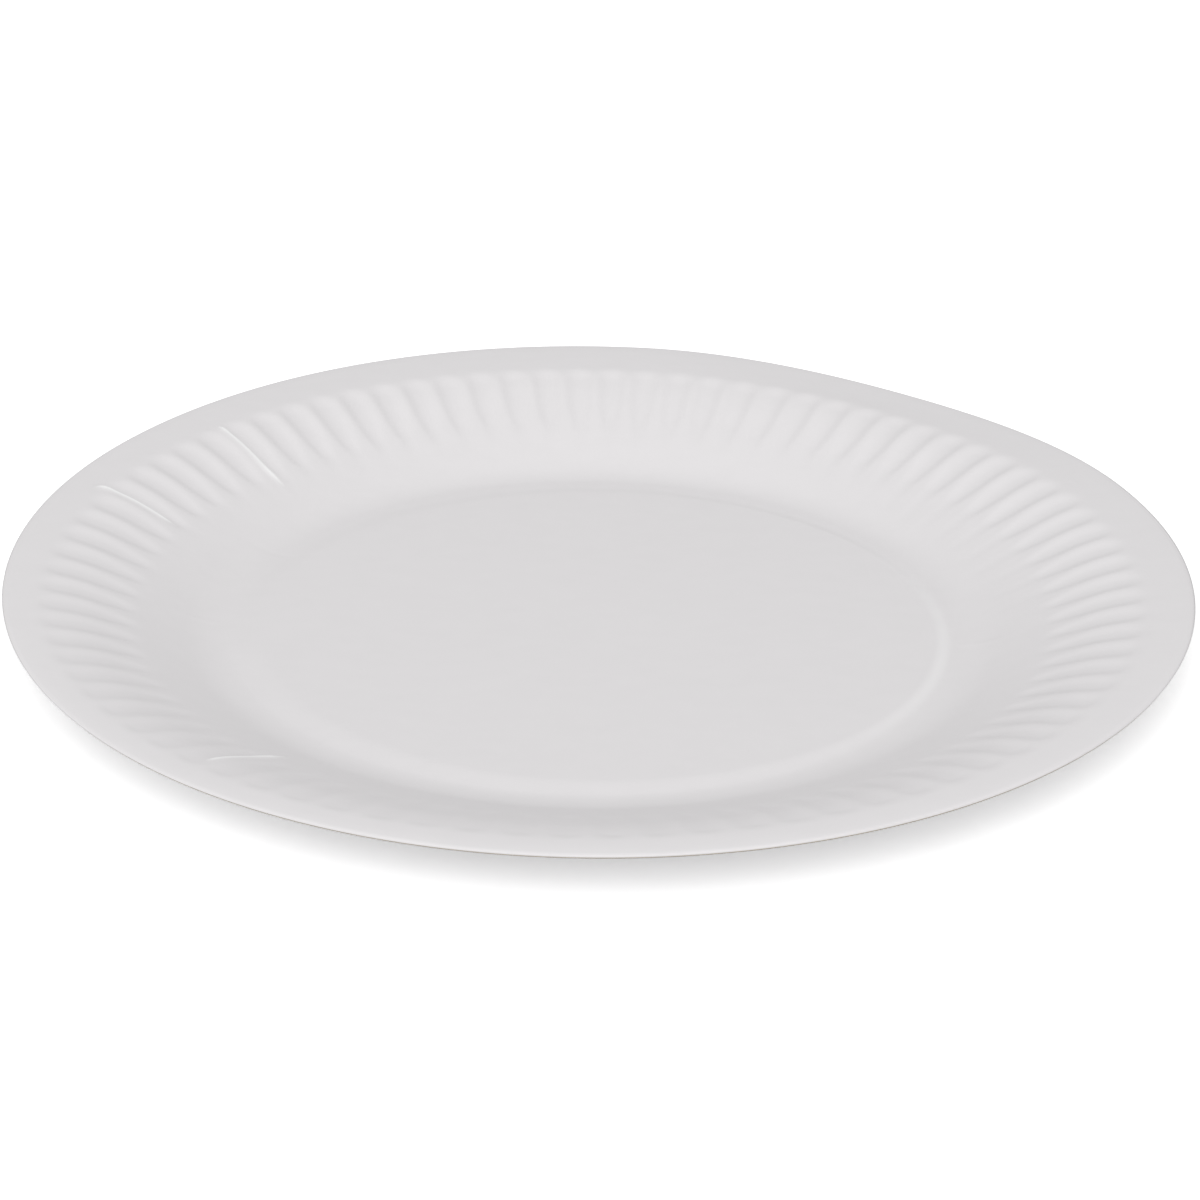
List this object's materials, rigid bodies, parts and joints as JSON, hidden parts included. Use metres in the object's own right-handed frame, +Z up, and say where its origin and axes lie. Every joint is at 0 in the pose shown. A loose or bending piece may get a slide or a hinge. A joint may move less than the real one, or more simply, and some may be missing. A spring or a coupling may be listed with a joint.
{
  "type": "paper plate",
  "caption": "Round white paper plate pressed from one sheet of board, with a fluted slope and a flat rim.",
  "frame": {"origin": "on the ground, under the middle of the round rim", "axes": "+Z up, +Y away from the diner, +X to the right; the dish is pressed 1.3 mm left and 1.5 mm toward the diner of the origin"},
  "size_m": [0.23, 0.23, 0.0135],
  "materials": {
    "board": "matt"
  },
  "bodies": {
    "root": {"plate": "board"}
  },
  "joints": []
}
